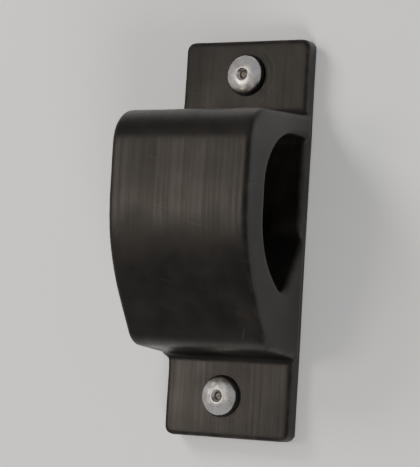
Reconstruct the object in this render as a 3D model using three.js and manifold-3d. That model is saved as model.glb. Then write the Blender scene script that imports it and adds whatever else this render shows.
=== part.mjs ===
// Riveted loop bracket for a kayak side: an oval-eyed holder that a fish lip grip's flat body is
// pushed through.
// Millimetres. +X runs along the tunnel, +Y along the base plate towards its upper foot, +Z out of
// the hull.
// The origin is the middle of the face that lies against the hull.
import * as THREE from "three";
import { mergeVertices } from "three/addons/utils/BufferGeometryUtils.js";
import Module from "manifold-3d";

const wasm = await Module();
wasm.setup();

// ---- Driving dimensions -------------------------------------------------------------------------

const GASKET = { inset: 1, thickness: 1.5 };
const PLATE = { length: 130, width: 46.5, thickness: 5.5, corner: 3, edge: 1 };
const LOOP = { upperEnd: 40, lowerEnd: -38.5, width: 51, height: 45.5, edge: 1.6, fillet: 3 };
const CROWN = 11.5; // thickness of the loop's crown
const WALL = 7.5; // thickness of its upper wall
const HULL_SKIN = 6; // the hull wall that the rivets clamp

const HOLE_RADIUS = 2.6;
const SLEEVE = { radius: 2.5, bore: 1.4 };
const FLANGE = { radius: 6.3, rim: 0.7, height: 2.3, dimpleRadius: 2.1, dimpleDepth: 0.9 };
const WASHER = { radius: 6.8, thickness: 1 };
const LEG = { count: 3, reach: 8.5, thickness: 1.1, width: 3.8, drop: 4.2 };
const COLLAR_HEIGHT = 1.5;
const MANDREL = { radius: 1.3, headRadius: 2.4, headHeight: 1.8, breakBelowTop: 1.3 };

// Each rivet's place on its foot.
const RIVETS = {
  upper: { x: 0.5, y: 53.5 },
  lower: { x: -2, y: -51.5 },
};

// Heights of the layers, counted from the hull's surface.
const PLATE_BOTTOM = GASKET.thickness;
const PLATE_TOP = PLATE_BOTTOM + PLATE.thickness;
const FLANGE_BOTTOM = PLATE_TOP + WASHER.thickness;
const TAIL_TOP = -HULL_SKIN;
const COLLAR_TOP = TAIL_TOP - LEG.drop;
const COLLAR_BOTTOM = COLLAR_TOP - COLLAR_HEIGHT;

const ROUND_STEPS = 32; // sides of a round piece
const CURVE_STEPS = 8; // points on half of a rounded corner
const EDGE_STEPS = 3; // rings of a rounded edge

// ---- Materials ----------------------------------------------------------------------------------

function material(color, roughness, metalness) {
  return new THREE.MeshStandardMaterial({ color, roughness, metalness });
}

const blackPlastic = material(0x14110f, 0.38, 0);
const rubber = material(0x0c0c0c, 0.85, 0);
const aluminium = material(0xc9c6c0, 0.3, 1);
const steel = material(0x8d8a86, 0.35, 1);

// ---- Joining and cutting ------------------------------------------------------------------------

function solid(geometry) {
  geometry.deleteAttribute("normal");
  geometry.deleteAttribute("uv");
  const merged = mergeVertices(geometry, 1e-4);
  return new wasm.Manifold(
    new wasm.Mesh({
      numProp: 3,
      vertProperties: merged.attributes.position.array,
      triVerts: new Uint32Array(merged.index.array),
    }),
  );
}

function geometryOf(manifold) {
  const { vertProperties, triVerts } = manifold.getMesh();
  const geometry = new THREE.BufferGeometry();
  geometry.setAttribute("position", new THREE.BufferAttribute(vertProperties, 3));
  geometry.setIndex(new THREE.BufferAttribute(triVerts, 1));
  geometry.computeVertexNormals();
  return geometry;
}

function cylinderAlongZ(radius, low, high, { x, y } = { x: 0, y: 0 }) {
  return new THREE.CylinderGeometry(radius, radius, high - low, ROUND_STEPS)
    .rotateX(Math.PI / 2)
    .translate(x, y, (low + high) / 2);
}

// A profile of [radius, height] points, turned about Z. It starts and ends on the axis, or closes
// on itself.
function turned(profile) {
  const points = profile.map(([radius, height]) => new THREE.Vector2(radius, height));
  return new THREE.LatheGeometry(points, ROUND_STEPS).rotateX(Math.PI / 2);
}

// ---- Outlines -----------------------------------------------------------------------------------

// A closed path of straight lines with rounded corners: each corner is { at: [u, v], radius },
// sharp with no radius.
function roundedPath(path, corners) {
  const count = corners.length;
  corners.forEach(({ at, radius }, index) => {
    const corner = new THREE.Vector2(...at);
    if (!radius) {
      path.lineTo(corner.x, corner.y);
      return;
    }
    const before = new THREE.Vector2(...corners[(index + count - 1) % count].at).sub(corner).normalize();
    const after = new THREE.Vector2(...corners[(index + 1) % count].at).sub(corner).normalize();
    const halfAngle = Math.acos(before.dot(after)) / 2;
    const toCentre = before.clone().add(after).setLength(radius / Math.sin(halfAngle));
    const centre = corner.clone().add(toCentre);
    const cut = radius / Math.tan(halfAngle);
    const start = before.multiplyScalar(cut).sub(toCentre);
    const end = after.multiplyScalar(cut).sub(toCentre);
    const clockwise = start.cross(end) < 0;
    path.absarc(centre.x, centre.y, radius, start.angle(), end.angle(), clockwise);
  });
  path.closePath();
  return path;
}

function roundedRectangle(width, length, radius) {
  const u = width / 2;
  const v = length / 2;
  return roundedPath(new THREE.Shape(), [
    { at: [u, -v], radius },
    { at: [u, v], radius },
    { at: [-u, v], radius },
    { at: [-u, -v], radius },
  ]);
}

// The loop's side view, in Y and Z: a steep upper wall, a flat crown and a long slope to a low
// lower shoulder.
// It runs on below the plate's underside and is cut off there.
function loopOutline() {
  const { upperEnd, lowerEnd, height, fillet } = LOOP;
  const lean = 2;
  const shoulder = height - 18;
  const root = PLATE_TOP - 0.2;
  const toe = 1.3 * fillet;
  const toeTop = root - 0.2;
  const below = PLATE_BOTTOM - 2 * LOOP.edge;
  return roundedPath(new THREE.Shape(), [
    { at: [upperEnd - lean, height], radius: 11 },
    { at: [-6, height], radius: 60 },
    { at: [lowerEnd + lean, shoulder], radius: 8 },
    { at: [lowerEnd, root], radius: fillet },
    { at: [lowerEnd - toe, toeTop] },
    { at: [lowerEnd - toe, below] },
    { at: [upperEnd + toe, below] },
    { at: [upperEnd + toe, toeTop] },
    { at: [upperEnd, root], radius: fillet },
  ]);
}

// The eye: the plate's top for a floor, a crown that follows the loop's, and a lower end that
// narrows to a tip.
function eyeOutline() {
  const floor = PLATE_TOP - LOOP.edge;
  const ceiling = LOOP.height - CROWN;
  const upperWall = LOOP.upperEnd - WALL;
  return roundedPath(new THREE.Path(), [
    { at: [upperWall, floor], radius: 5 },
    { at: [upperWall, ceiling], radius: 18 },
    { at: [-8, ceiling], radius: 28 },
    { at: [-19, 18.5], radius: 3.5 },
    { at: [4, floor], radius: 24 },
  ]);
}

// Extrudes a shape drawn in Y and Z along X, centred on the origin, with its edges rounded inside
// its own size.
function extrudedAlongX(shape, width, edge) {
  const geometry = new THREE.ExtrudeGeometry(shape, {
    depth: width - 2 * edge,
    curveSegments: CURVE_STEPS,
    bevelThickness: edge,
    bevelSize: edge,
    bevelOffset: -edge,
    bevelSegments: EDGE_STEPS,
  });
  geometry.translate(0, 0, edge - width / 2);
  const alongX = new THREE.Matrix4().makeBasis(
    new THREE.Vector3(0, 1, 0),
    new THREE.Vector3(0, 0, 1),
    new THREE.Vector3(1, 0, 0),
  );
  return geometry.applyMatrix4(alongX);
}

// ---- Sub-parts ----------------------------------------------------------------------------------

function withRivetHoles(body, low, high) {
  return Object.values(RIVETS).reduce(
    (rest, place) => rest.subtract(solid(cylinderAlongZ(HOLE_RADIUS, low - 1, high + 1, place))),
    body,
  );
}

// One moulding: the base plate with its two feet, and the loop over its middle.
function holderBody() {
  const loopShape = loopOutline();
  loopShape.holes.push(eyeOutline());
  const loop = solid(extrudedAlongX(loopShape, LOOP.width, LOOP.edge));

  const plate = solid(
    new THREE.ExtrudeGeometry(roundedRectangle(PLATE.width, PLATE.length, PLATE.corner), {
      depth: PLATE.thickness - PLATE.edge,
      curveSegments: CURVE_STEPS,
      bevelThickness: PLATE.edge,
      bevelSize: PLATE.edge,
      bevelOffset: -PLATE.edge,
      bevelSegments: EDGE_STEPS,
    }).translate(0, 0, PLATE_BOTTOM),
  );

  const cutWidth = 2 * LOOP.width;
  const cutDepth = 20;
  const cutAway = (x, top) =>
    solid(new THREE.BoxGeometry(cutWidth, 2 * PLATE.length, cutDepth).translate(x, 0, top - cutDepth / 2));

  // Where the loop is wider than the plate, it ends at the height of the plate's top.
  const pastSide = (PLATE.width + cutWidth) / 2;
  const standing = loop.subtract(cutAway(pastSide, PLATE_TOP)).subtract(cutAway(-pastSide, PLATE_TOP));
  const body = plate.add(standing).subtract(cutAway(0, PLATE_BOTTOM));
  return geometryOf(withRivetHoles(body, PLATE_BOTTOM, PLATE_TOP));
}

// A soft sheet under the whole plate, a little smaller than it.
function mountingGasket() {
  const width = PLATE.width - 2 * GASKET.inset;
  const length = PLATE.length - 2 * GASKET.inset;
  const outline = roundedRectangle(width, length, PLATE.corner);
  const sheet = new THREE.ExtrudeGeometry(outline, {
    depth: GASKET.thickness,
    curveSegments: CURVE_STEPS,
    bevelEnabled: false,
  });
  return geometryOf(withRivetHoles(solid(sheet), 0, GASKET.thickness));
}

function rivetWasher() {
  return turned([
    [HOLE_RADIUS, PLATE_TOP],
    [WASHER.radius, PLATE_TOP],
    [WASHER.radius, FLANGE_BOTTOM],
    [HOLE_RADIUS, FLANGE_BOTTOM],
    [HOLE_RADIUS, PLATE_TOP],
  ]);
}

// The sleeve and its low domed flange, with the dimple that the pulled stem leaves.
function rivetSleeve() {
  const domeSteps = 6;
  const domeRise = FLANGE.height - FLANGE.rim;
  const dome = Array.from({ length: domeSteps + 1 }, (_, step) => {
    const radius = FLANGE.radius + ((FLANGE.dimpleRadius - FLANGE.radius) * step) / domeSteps;
    const drop = (radius / FLANGE.radius) ** 2;
    return [radius, FLANGE_BOTTOM + FLANGE.rim + domeRise * (1 - drop)];
  });
  const dimpleFloor = FLANGE_BOTTOM + FLANGE.height - FLANGE.dimpleDepth;
  return turned([
    [SLEEVE.bore, TAIL_TOP - LEG.thickness],
    [SLEEVE.radius, TAIL_TOP - LEG.thickness],
    [SLEEVE.radius, FLANGE_BOTTOM],
    [FLANGE.radius, FLANGE_BOTTOM],
    ...dome,
    [SLEEVE.bore, dimpleFloor],
    [SLEEVE.bore, TAIL_TOP - LEG.thickness],
  ]);
}

// One of the legs that the sleeve splits into behind the hull: out along the skin, then folded back
// to the collar.
function rivetLeg() {
  const root = (SLEEVE.bore + SLEEVE.radius) / 2;
  const outline = new THREE.Shape();
  outline.moveTo(root, TAIL_TOP);
  outline.lineTo(LEG.reach - LEG.thickness, TAIL_TOP);
  outline.quadraticCurveTo(LEG.reach, TAIL_TOP, LEG.reach, TAIL_TOP - LEG.thickness);
  outline.lineTo(root, COLLAR_TOP - LEG.thickness);
  outline.lineTo(root, COLLAR_TOP + 0.2);
  outline.lineTo(LEG.reach - 2 * LEG.thickness, TAIL_TOP - LEG.thickness);
  outline.lineTo(root, TAIL_TOP - LEG.thickness);
  outline.closePath();
  return new THREE.ExtrudeGeometry(outline, {
    depth: LEG.width,
    curveSegments: CURVE_STEPS,
    bevelEnabled: false,
  })
    .translate(0, 0, -LEG.width / 2)
    .rotateX(Math.PI / 2);
}

function rivetCollar() {
  return turned([
    [SLEEVE.bore, COLLAR_BOTTOM],
    [SLEEVE.radius, COLLAR_BOTTOM],
    [SLEEVE.radius, COLLAR_TOP],
    [SLEEVE.bore, COLLAR_TOP],
    [SLEEVE.bore, COLLAR_BOTTOM],
  ]);
}

function rivetBody() {
  let body = solid(rivetSleeve()).add(solid(rivetCollar()));
  for (let leg = 0; leg < LEG.count; leg++) {
    body = body.add(solid(rivetLeg().rotateZ((2 * Math.PI * leg) / LEG.count)));
  }
  const bore = solid(cylinderAlongZ(SLEEVE.bore, COLLAR_BOTTOM - 1, FLANGE_BOTTOM));
  return geometryOf(body.subtract(bore));
}

// The stem that is left in the rivet: its head under the collar, its broken end in the dimple.
function rivetMandrel() {
  const headBottom = COLLAR_BOTTOM - MANDREL.headHeight;
  const chamfer = 0.6;
  return turned([
    [0, headBottom],
    [MANDREL.headRadius - chamfer, headBottom],
    [MANDREL.headRadius, headBottom + chamfer],
    [MANDREL.headRadius, COLLAR_BOTTOM],
    [MANDREL.radius, COLLAR_BOTTOM],
    [MANDREL.radius, FLANGE_BOTTOM + FLANGE.height - MANDREL.breakBelowTop],
    [0, FLANGE_BOTTOM + FLANGE.height - MANDREL.breakBelowTop],
  ]);
}

// ---- Assembly -----------------------------------------------------------------------------------

const bracket = new THREE.Group();

function addPiece(name, geometry, surface, place = { x: 0, y: 0 }) {
  const mesh = new THREE.Mesh(geometry, surface);
  mesh.name = name;
  mesh.position.set(place.x, place.y, 0);
  bracket.add(mesh);
}

addPiece("holder_body", holderBody(), blackPlastic);
addPiece("mounting_gasket", mountingGasket(), rubber);
for (const [foot, place] of Object.entries(RIVETS)) {
  addPiece(`${foot}_rivet_washer`, rivetWasher(), rubber, place);
  addPiece(`${foot}_rivet_body`, rivetBody(), aluminium, place);
  addPiece(`${foot}_rivet_mandrel`, rivetMandrel(), steel, place);
}

export default bracket;
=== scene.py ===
"""A riveted loop bracket from a kayak's side, which holds a fish lip grip.

Everything is in metres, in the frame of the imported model: +X along the eye's tunnel, +Y towards
the upper foot and +Z out of the hull. The floor stands for the hull's surface.
"""

import math

import bmesh
import bpy
import numpy as np
from mathutils import Matrix, Vector, noise


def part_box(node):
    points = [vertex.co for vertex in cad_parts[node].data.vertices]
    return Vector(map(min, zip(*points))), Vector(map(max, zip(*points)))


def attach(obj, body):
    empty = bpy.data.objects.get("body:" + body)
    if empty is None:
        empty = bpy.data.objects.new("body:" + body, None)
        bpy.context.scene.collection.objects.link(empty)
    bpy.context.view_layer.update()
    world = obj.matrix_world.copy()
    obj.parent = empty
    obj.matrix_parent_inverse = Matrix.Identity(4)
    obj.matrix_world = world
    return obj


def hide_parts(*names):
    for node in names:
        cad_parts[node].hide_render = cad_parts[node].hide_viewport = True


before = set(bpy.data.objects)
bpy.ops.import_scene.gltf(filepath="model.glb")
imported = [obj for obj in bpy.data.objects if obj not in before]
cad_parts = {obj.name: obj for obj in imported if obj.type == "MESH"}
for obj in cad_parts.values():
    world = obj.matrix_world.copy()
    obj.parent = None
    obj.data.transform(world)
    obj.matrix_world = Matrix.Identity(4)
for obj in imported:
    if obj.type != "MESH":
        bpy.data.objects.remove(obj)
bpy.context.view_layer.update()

MM = 0.001
BODY = "root"
FEET = ("upper", "lower")


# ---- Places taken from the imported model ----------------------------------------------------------


def middle(low, high):
    return (Vector(low) + Vector(high)) / 2


def box_of(node):
    return [Vector(corner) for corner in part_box(node)]


body_low, body_high = box_of("holder_body")


def washer_place(foot):
    """The middle of the washer's underside, on the rivet's axis."""
    low, high = box_of(f"{foot}_rivet_washer")
    axis = middle(low, high)
    return Vector((axis.x, axis.y, low.z))


def flange_place(foot):
    """The middle of the flange's underside, on the rivet's axis."""
    axis = washer_place(foot)
    return Vector((axis.x, axis.y, box_of(f"{foot}_rivet_washer")[1].z))


# ---- Mesh helpers --------------------------------------------------------------------------------

ROUND_STEPS = 96


def add_object(name, mesh):
    made = bpy.data.objects.new(name, mesh)
    bpy.context.scene.collection.objects.link(made)
    return made


def baked(made):
    """Replaces an object's mesh with the result of its modifiers."""
    evaluated = made.evaluated_get(bpy.context.evaluated_depsgraph_get())
    mesh = bpy.data.meshes.new_from_object(evaluated)
    made.modifiers.clear()
    made.data = mesh
    return made


def shade_smooth(made):
    made.data.polygons.foreach_set("use_smooth", [True] * len(made.data.polygons))
    made.data.update()


def finish_piece(made, material, node):
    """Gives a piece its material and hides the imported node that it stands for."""
    made.data.materials.clear()
    made.data.materials.append(material)
    shade_smooth(made)
    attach(made, BODY)
    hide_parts(node)


def bridge(bm, first, second):
    """Faces between two rings. A ring of one vertex is a pole."""
    steps = max(len(first), len(second))
    for step in range(steps):
        after = (step + 1) % steps
        corners = [first[step % len(first)], first[after % len(first)]]
        corners += [second[after % len(second)], second[step % len(second)]]
        bm.faces.new(list(dict.fromkeys(corners)))


def lathe(bm, profile, centre):
    """Turns a profile of (radius, height) in millimetres about Z.

    A profile that ends where it starts makes a ring.
    """
    closed = profile[0] == profile[-1]
    rings = []
    for radius, height in profile[:-1] if closed else profile:
        steps = ROUND_STEPS if radius else 1
        ring = []
        for step in range(steps):
            angle = 2 * math.pi * step / steps
            offset = Vector((radius * math.cos(angle), radius * math.sin(angle), height)) * MM
            ring.append(bm.verts.new(centre + offset))
        rings.append(ring)
    for first, second in zip(rings, rings[1:]):
        bridge(bm, first, second)
    if closed:
        bridge(bm, rings[-1], rings[0])


STRIP_SECTION = ((1, 0.5), (0.9, 1), (-0.9, 1), (-1, 0.5), (-1, -0.5), (-0.9, -1), (0.9, -1), (1, -0.5))


def strip(bm, path, width, thickness, place):
    """A flat bar bent along a path of (reach, height) in millimetres, put in its place by a matrix."""
    points = [Vector((reach, 0, height)) for reach, height in path]
    rings = []
    for index, point in enumerate(points):
        along = (points[min(index + 1, len(points) - 1)] - points[max(index - 1, 0)]).normalized()
        across = along.cross(Vector((0, 1, 0)))
        ring = []
        for side, lift in STRIP_SECTION:
            offset = Vector((0, side * width / 2, 0)) + across * (lift * thickness / 2)
            ring.append(bm.verts.new(place @ ((point + offset) * MM)))
        rings.append(ring)
    for first, second in zip(rings, rings[1:]):
        bridge(bm, first, second)
    bm.faces.new(rings[0])
    bm.faces.new(rings[-1])


def to_mesh(bm, name):
    bmesh.ops.recalc_face_normals(bm, faces=bm.faces)
    mesh = bpy.data.meshes.new(name)
    bm.to_mesh(mesh)
    bm.free()
    return mesh


def read_vectors(mesh, name):
    values = np.empty(len(mesh.vertices) * 3)
    mesh.vertices.foreach_get(name, values)
    return values.reshape(-1, 3)


def roughen(mesh, height, wavelength, above=-math.inf):
    """Pushes the vertices above a height in or out along their normals by smooth noise."""
    places = read_vectors(mesh, "co")
    push = [height * noise.noise(place / wavelength) if place[2] > above else 0 for place in places]
    places += read_vectors(mesh, "normal") * np.array(push)[:, None]
    mesh.vertices.foreach_set("co", places.ravel())
    mesh.update()


def even_faces(made, voxel, smooth_rounds):
    """Rebuilds a piece with small even faces and softened edges."""
    remesh = made.modifiers.new("even_faces", "REMESH")
    remesh.mode = "VOXEL"
    remesh.voxel_size = voxel
    smooth = made.modifiers.new("soft_edges", "SMOOTH")
    smooth.factor = 0.5
    smooth.iterations = smooth_rounds
    return baked(made)


# ---- Materials -----------------------------------------------------------------------------------


def colour(red, green, blue):
    return (red, green, blue, 1)


class Surface:
    """A material's node tree, with short ways to add and link nodes."""

    def __init__(self, name):
        self.material = bpy.data.materials.new(name)
        self.material.use_nodes = True
        self.nodes = self.material.node_tree.nodes
        self.links = self.material.node_tree.links
        self.shader = self.nodes["Principled BSDF"]

    def feed(self, value, socket):
        if isinstance(value, bpy.types.NodeSocket):
            self.links.new(value, socket)
        else:
            socket.default_value = value

    def node(self, kind, inputs=(), **settings):
        made = self.nodes.new(kind)
        for key, value in settings.items():
            setattr(made, key, value)
        for key, value in dict(inputs).items():
            self.feed(value, made.inputs[key])
        return made

    def math(self, operation, *values):
        return self.node("ShaderNodeMath", enumerate(values), operation=operation).outputs[0]

    def vector(self, operation, *values):
        return self.node("ShaderNodeVectorMath", enumerate(values), operation=operation).outputs["Vector"]

    def place(self):
        """The piece's own coordinates in metres."""
        return self.node("ShaderNodeTexCoord").outputs["Object"]

    def noise(self, scale, detail=4, stretch=(1, 1, 1), along=None):
        coordinates = self.place() if along is None else along
        inputs = {
            "Vector": self.vector("MULTIPLY", coordinates, stretch),
            "Scale": scale,
            "Detail": detail,
        }
        return self.node("ShaderNodeTexNoise", inputs).outputs["Fac"]

    def scratches(self, turn, density, length, rarity):
        """Thin straight marks, 0 to 1, along a direction turned about Z."""
        inputs = {"Vector": self.place(), "Angle": math.radians(turn)}
        turned = self.node("ShaderNodeVectorRotate", inputs, rotation_type="Z_AXIS").outputs["Vector"]
        marks = self.noise(1, detail=1, stretch=(length, density, length), along=turned)
        return self.span(marks, rarity, rarity + 0.04)

    def span(self, value, low, high, to_low=0.0, to_high=1.0):
        """Maps low..high to to_low..to_high, clamped."""
        inputs = {"Value": value, "From Min": low, "From Max": high, "To Min": to_low, "To Max": to_high}
        return self.node("ShaderNodeMapRange", inputs).outputs["Result"]

    def mix(self, factor, first, second):
        """A mix of two colours."""
        inputs = {"Fac": factor, "Color1": first, "Color2": second}
        return self.node("ShaderNodeMixRGB", inputs).outputs["Color"]

    def attribute(self, name):
        return self.node("ShaderNodeAttribute", attribute_name=name).outputs["Fac"]

    def bump(self, height, strength, distance, normal=None):
        inputs = {"Height": height, "Strength": strength, "Distance": distance}
        if normal is not None:
            inputs["Normal"] = normal
        return self.node("ShaderNodeBump", inputs).outputs["Normal"]

    def distance_from(self, axis):
        """The distance from an upright axis."""
        offset = self.vector("SUBTRACT", self.place(), axis)
        flat = self.vector("MULTIPLY", offset, (1, 1, 0))
        return self.node("ShaderNodeVectorMath", {0: flat}, operation="LENGTH").outputs["Value"]

    def set(self, **values):
        for key, value in values.items():
            self.feed(value, self.shader.inputs[key.replace("_", " ")])


SCUFFS_START = (6.8 * MM, 7.6 * MM)  # they come in from the washer's edge outwards
SCUFFS_END = (9 * MM, 12 * MM)  # and fade out between these distances from the rivet's axis


def turning_scuffs(s, foot):
    """The rings that a slipping rivet tool has rubbed into the foot, 0 to 1, on the rivet's +X side."""
    axis = washer_place(foot)
    distance = s.distance_from(axis)
    outwards = s.node("ShaderNodeCombineXYZ", {"X": distance}).outputs["Vector"]
    rings = s.noise(1, detail=2, stretch=(2200, 0, 0), along=outwards)
    fading = s.span(distance, SCUFFS_END[1], SCUFFS_END[0])
    starting = s.span(distance, *SCUFFS_START)
    x = s.node("ShaderNodeSeparateXYZ", {0: s.place()}).outputs["X"]
    side = s.span(x, axis.x + 1 * MM, axis.x + 5 * MM)
    patches = s.span(s.noise(160, detail=2), 0.4, 0.6)
    zone = s.math("MULTIPLY", fading, starting)
    marks = s.math("MULTIPLY", s.span(rings, 0.5, 0.62), zone)
    return s.math("MULTIPLY", marks, s.math("MULTIPLY", side, patches))


def plastic_material():
    s = Surface("black_moulded_plastic")
    streaks = s.noise(1, detail=3, stretch=(850, 16, 16))
    pits = s.noise(2200, detail=2)
    crosswise = s.scratches(turn=14, density=1500, length=45, rarity=0.72)
    lengthwise = s.scratches(turn=-64, density=1300, length=60, rarity=0.75)
    scratches = s.math("MAXIMUM", crosswise, lengthwise)
    scuffs = s.math("MAXIMUM", turning_scuffs(s, "upper"), turning_scuffs(s, "lower"))
    scuffs = s.math("MAXIMUM", scuffs, s.math("MULTIPLY", scratches, 0.4))
    wear = s.math("MULTIPLY", s.span(s.attribute("convex"), 0.2, 0.8), s.span(s.noise(300), 0.42, 0.6))
    dust = s.span(s.noise(70, detail=5), 0.45, 0.75)

    mottle = s.span(s.noise(120, detail=5), 0.35, 0.7)
    base = s.mix(mottle, colour(0.004, 0.0034, 0.003), colour(0.010, 0.0085, 0.007))
    base = s.mix(s.math("MULTIPLY", dust, 0.3), base, colour(0.032, 0.026, 0.021))
    base = s.mix(s.math("MULTIPLY", wear, 0.4), base, colour(0.060, 0.050, 0.042))
    base = s.mix(s.math("MULTIPLY", scuffs, 0.45), base, colour(0.11, 0.095, 0.08))

    roughness = s.span(s.noise(45, detail=3), 0.3, 0.7, 0.37, 0.47)
    roughness = s.math("ADD", roughness, s.span(streaks, 0.3, 0.7, -0.03, 0.04))
    roughness = s.math("ADD", roughness, s.math("MULTIPLY", scuffs, 0.12))
    normal = s.bump(streaks, 0.4, 0.1 * MM)
    normal = s.bump(pits, 0.15, 0.05 * MM, normal)
    s.set(Base_Color=base, Roughness=roughness, Normal=normal, Specular_IOR_Level=0.4)
    return s.material


def rubber_material():
    s = Surface("black_neoprene")
    cells = s.noise(1700, detail=3)
    chalk = s.span(s.noise(240, detail=4), 0.45, 0.7)
    base = s.mix(chalk, colour(0.009, 0.009, 0.009), colour(0.028, 0.026, 0.024))
    s.set(Base_Color=base, Roughness=s.span(cells, 0.2, 0.8, 0.7, 0.92))
    s.set(Normal=s.bump(cells, 0.5, 0.15 * MM))
    return s.material


def aluminium_material():
    s = Surface("rivet_aluminium")
    dents = s.noise(520, detail=3)
    tarnish = s.span(s.noise(380, detail=4), 0.42, 0.66)
    pits = s.span(s.noise(1500, detail=2), 0.62, 0.7)
    base = s.mix(tarnish, colour(0.96, 0.94, 0.91), colour(0.74, 0.70, 0.65))
    base = s.mix(s.math("MULTIPLY", pits, 0.6), base, colour(0.22, 0.20, 0.18))
    roughness = s.math("ADD", s.span(dents, 0.3, 0.7, 0.28, 0.44), s.math("MULTIPLY", pits, 0.2))
    s.set(Metallic=1.0, Base_Color=base, Roughness=roughness, Normal=s.bump(dents, 0.4, 0.2 * MM))
    return s.material


def steel_material():
    s = Surface("mandrel_steel")
    grain = s.noise(1500, detail=4)
    rust = s.span(s.noise(650, detail=3), 0.55, 0.7)
    base = s.mix(s.span(grain, 0.3, 0.7), colour(0.16, 0.155, 0.15), colour(0.36, 0.345, 0.32))
    base = s.mix(s.math("MULTIPLY", rust, 0.5), base, colour(0.12, 0.055, 0.025))
    s.set(Metallic=1.0, Base_Color=base, Roughness=s.span(grain, 0.3, 0.7, 0.42, 0.65))
    s.set(Normal=s.bump(grain, 0.6, 0.2 * MM))
    return s.material


def floor_material():
    s = Surface("pale_floor")
    base = s.mix(s.noise(6, detail=3), colour(0.79, 0.78, 0.76), colour(0.83, 0.82, 0.80))
    s.set(Base_Color=base, Roughness=0.75)
    return s.material


plastic = plastic_material()
rubber = rubber_material()
aluminium = aluminium_material()
steel = steel_material()


# ---- Moulded body --------------------------------------------------------------------------------

BODY_VOXEL = 0.56 * MM
GASKET_VOXEL = 0.45 * MM
SMOOTH_ROUNDS = 2
CONVEX_ROUNDS = 3  # how often the bend is averaged with the neighbours' bend
CONVEX_GAIN = 8  # scales the bend before it is cut off at -1 and 1


def mark_edges(mesh, voxel, rounds):
    """Writes the attribute "convex": how the surface bends, from -1 in a hollow to 1 on an edge."""
    count = len(mesh.vertices)
    places = read_vectors(mesh, "co")
    normals = read_vectors(mesh, "normal")
    ends = np.empty(len(mesh.edges) * 2, np.int64)
    mesh.edges.foreach_get("vertices", ends)
    first, second = ends.reshape(-1, 2).T
    degree = np.bincount(ends, minlength=count)

    def neighbour_mean(values):
        total = np.zeros_like(values)
        np.add.at(total, first, values[second])
        np.add.at(total, second, values[first])
        return total / (degree[:, None] if values.ndim == 2 else degree)

    bend = -np.einsum("ij,ij->i", neighbour_mean(places) - places, normals) / voxel
    for _ in range(rounds):
        bend = (bend + neighbour_mean(bend)) / 2
    convex = np.clip(bend * CONVEX_GAIN, -1, 1)
    mesh.attributes.new("convex", "FLOAT", "POINT").data.foreach_set("value", convex)


def make_body():
    made = add_object("moulded_body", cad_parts["holder_body"].data.copy())
    even_faces(made, BODY_VOXEL, SMOOTH_ROUNDS)
    roughen(made.data, height=0.12 * MM, wavelength=14 * MM)
    mark_edges(made.data, BODY_VOXEL, CONVEX_ROUNDS)
    finish_piece(made, plastic, "holder_body")


# ---- Soft pieces ---------------------------------------------------------------------------------

# The washer's section, as (radius, height) from its underside.
WASHER_PROFILE = (
    (2.6, 0.1),
    (2.8, 0),
    (6.1, 0),
    (6.5, 0.08),
    (6.75, 0.28),
    (6.8, 0.5),
    (6.75, 0.72),
    (6.5, 0.92),
    (6.1, 1),
    (2.8, 1),
    (2.6, 0.9),
    (2.6, 0.1),
)


def make_gasket():
    made = add_object("neoprene_sheet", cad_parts["mounting_gasket"].data.copy())
    even_faces(made, GASKET_VOXEL, SMOOTH_ROUNDS)
    roughen(made.data, height=0.1 * MM, wavelength=3 * MM)
    finish_piece(made, rubber, "mounting_gasket")


def make_washer(foot):
    bm = bmesh.new()
    lathe(bm, WASHER_PROFILE, washer_place(foot))
    mesh = to_mesh(bm, "washer")
    roughen(mesh, height=0.06 * MM, wavelength=1.5 * MM)
    made = add_object(f"{foot}_neoprene_washer", mesh)
    finish_piece(made, rubber, f"{foot}_rivet_washer")


# ---- Rivets --------------------------------------------------------------------------------------

SLEEVE_RADIUS = 2.5
SLEEVE_BORE = 1.4
FLANGE_RADIUS = 6.3
DOME_FOOT, DOME_TOP = 0.75, 2.3  # heights of the dome's edge and of its crown, if it had no dimple
DOME_RADIUS = FLANGE_RADIUS - 0.25
DOME_POWER = 2.4  # 2 would be a parabola, more is flatter on top
DOME_STEPS = 14
DIMPLE_RADIUS = 2.3
LEG_COUNT = 3
LEG_WIDTH, LEG_THICKNESS = 3.8, 1.05
COLLAR_HEIGHT = 1.5

# A leg of the tail, from the sleeve out along the hull's inside and folded back to the collar, as
# (reach, height) with heights counted from the hull's inside.
LEG_PATH = (
    (2.1, -0.55),
    (4, -0.56),
    (6, -0.62),
    (7, -0.75),
    (7.6, -1.05),
    (7.8, -1.5),
    (7.5, -1.95),
    (6.7, -2.4),
    (5, -3.2),
    (3.4, -4.05),
    (2.4, -4.6),
    (2, -5),
)


def flange_profile(sleeve_bottom):
    """The flange with its dome and dimple, and the sleeve. Heights count from its underside."""
    dome = []
    for step in range(DOME_STEPS + 1):
        radius = DOME_RADIUS + (DIMPLE_RADIUS - DOME_RADIUS) * step / DOME_STEPS
        drop = (DOME_TOP - DOME_FOOT) * (radius / FLANGE_RADIUS) ** DOME_POWER
        dome.append((radius, DOME_TOP - drop))
    dimple = [(2.15, 2.16), (1.95, 1.98), (1.75, 1.72), (1.55, 1.5), (SLEEVE_BORE, 1.3)]
    rim = [
        (SLEEVE_RADIUS, 0),
        (DOME_RADIUS, 0),
        (FLANGE_RADIUS - 0.04, 0.12),
        (FLANGE_RADIUS, 0.35),
        (FLANGE_RADIUS - 0.06, 0.6),
    ]
    sleeve = [(SLEEVE_BORE, sleeve_bottom), (SLEEVE_RADIUS, sleeve_bottom)]
    return sleeve + rim + dome + dimple + sleeve[:1]


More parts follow.
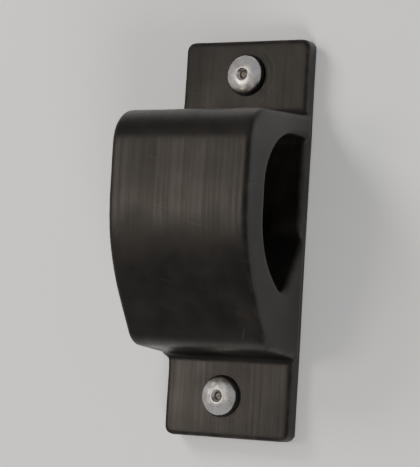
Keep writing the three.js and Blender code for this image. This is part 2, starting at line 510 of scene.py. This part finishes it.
def collar_profile(bottom):
    middle_height = bottom + COLLAR_HEIGHT / 2
    return [
        (SLEEVE_BORE, bottom),
        (SLEEVE_RADIUS - 0.2, bottom),
        (SLEEVE_RADIUS, bottom + 0.2),
        (SLEEVE_RADIUS, middle_height),
        (SLEEVE_RADIUS - 0.1, bottom + COLLAR_HEIGHT),
        (SLEEVE_BORE, bottom + COLLAR_HEIGHT),
        (SLEEVE_BORE, bottom),
    ]


def make_rivet_body(foot):
    seat = flange_place(foot)
    tail_bottom = (box_of(f"{foot}_rivet_body")[0].z - seat.z) / MM
    tail_top = tail_bottom - LEG_PATH[-1][1] + COLLAR_HEIGHT / 2
    bm = bmesh.new()
    lathe(bm, flange_profile(tail_top - LEG_THICKNESS), seat)
    lathe(bm, collar_profile(tail_bottom), seat)
    for leg in range(LEG_COUNT):
        turn = Matrix.Rotation(2 * math.pi * leg / LEG_COUNT, 4, "Z")
        place = Matrix.Translation(seat + Vector((0, 0, tail_top * MM))) @ turn
        strip(bm, LEG_PATH, LEG_WIDTH, LEG_THICKNESS, place)
    mesh = to_mesh(bm, "rivet")
    roughen(mesh, height=0.09 * MM, wavelength=1.8 * MM, above=seat.z + 0.3 * MM)
    made = add_object(f"{foot}_blind_rivet", mesh)
    finish_piece(made, aluminium, f"{foot}_rivet_body")


def make_mandrel(foot):
    """The stem, with its head behind the collar and its torn end in the dimple.

    Heights count from its lowest point.
    """
    low, high = box_of(f"{foot}_rivet_mandrel")
    length = (high.z - low.z) / MM
    profile = (
        (0, 0),
        (1.6, 0.02),
        (2.1, 0.2),
        (2.35, 0.5),
        (2.4, 0.9),
        (2.35, 1.5),
        (2.2, 1.75),
        (1.3, 1.79),
        (1.3, length - 0.7),
        (1.24, length - 0.4),
        (1.12, length - 0.12),
        (0.85, length - 0.02),
        (0.5, length - 0.2),
        (0.2, length - 0.12),
        (0, length - 0.15),
    )
    bm = bmesh.new()
    lathe(bm, profile, Vector((*washer_place(foot).xy, low.z)))
    mesh = to_mesh(bm, "mandrel")
    roughen(mesh, height=0.15 * MM, wavelength=0.5 * MM, above=high.z - 0.5 * MM)
    made = add_object(f"{foot}_broken_stem", mesh)
    finish_piece(made, steel, f"{foot}_rivet_mandrel")


make_body()
make_gasket()
for foot in FEET:
    make_washer(foot)
    make_rivet_body(foot)
    make_mandrel(foot)


# ---- Floor, light and camera ---------------------------------------------------------------------

VIEW_TURN = math.radians(31)  # how far the camera stands towards +X from straight above the plate
VIEW_TILT = math.radians(4)  # how far it stands towards the lower foot
VIEW_ROLL = math.radians(3.4)
CAMERA_DISTANCE = 0.7
FILL = 0.9  # the share of the frame's height that the bracket takes


def make_floor():
    """Lies where the hull's surface is."""
    bm = bmesh.new()
    bmesh.ops.create_grid(bm, x_segments=1, y_segments=1, size=2)
    floor = add_object("floor", to_mesh(bm, "floor"))
    floor.data.materials.append(floor_material())


def make_lamp(name, direction, distance, size, power, tint=(1, 1, 1), reflected=True):
    data = bpy.data.lights.new(name, "AREA")
    data.shape = "DISK"
    data.size = size
    data.energy = power
    data.color = tint
    lamp = bpy.data.objects.new(name, data)
    towards = Vector(direction).normalized()
    lamp.location = middle(body_low, body_high) + towards * distance
    lamp.rotation_euler = towards.to_track_quat("Z", "Y").to_euler()
    lamp.visible_glossy = reflected
    bpy.context.scene.collection.objects.link(lamp)


def view_axes():
    """The directions to the right, up and out of the picture."""
    sideways, level = math.sin(VIEW_TURN), math.cos(VIEW_TURN)
    out = Vector((sideways * math.cos(VIEW_TILT), -math.sin(VIEW_TILT), level * math.cos(VIEW_TILT)))
    right = Vector((0, 1, 0)).cross(out).normalized()
    roll = Matrix.Rotation(VIEW_ROLL, 3, out)
    return roll @ right, roll @ out.cross(right), out


def make_camera():
    right, up, out = view_axes()
    centre = middle(body_low, body_high)
    corners = [
        Vector((x, y, z)) - centre
        for x in (body_low.x, body_high.x)
        for y in (body_low.y, body_high.y)
        for z in (body_low.z, body_high.z)
    ]
    rights = [corner.dot(right) for corner in corners]
    ups = [corner.dot(up) for corner in corners]
    aim = centre + right * (max(rights) + min(rights)) / 2 + up * (max(ups) + min(ups)) / 2
    data = bpy.data.cameras.new("camera")
    data.sensor_fit = "VERTICAL"
    data.sensor_height = 24
    data.lens = data.sensor_height * CAMERA_DISTANCE * FILL / (max(ups) - min(ups))
    data.clip_start = 0.01
    camera = bpy.data.objects.new("camera", data)
    turn = Matrix((right, up, out)).transposed().to_4x4()
    camera.matrix_world = Matrix.Translation(aim + out * CAMERA_DISTANCE) @ turn
    bpy.context.scene.collection.objects.link(camera)
    bpy.context.scene.camera = camera


def make_world():
    world = bpy.data.worlds.new("studio")
    world.use_nodes = True
    background = world.node_tree.nodes["Background"]
    background.inputs["Color"].default_value = colour(0.97, 0.97, 1.0)
    background.inputs["Strength"].default_value = 0.28
    bpy.context.scene.world = world


make_floor()
make_lamp("key_softbox", (-0.51, 0, 0.855), distance=0.9, size=0.34, power=2.1, tint=(1, 0.87, 0.73))
for name, direction in (("left_softbox", (-0.7, 0.6, 0.6)), ("lower_softbox", (0.5, -0.7, 0.6))):
    make_lamp(name, direction, distance=1.3, size=0.6, power=12, reflected=False)
make_camera()
make_world()
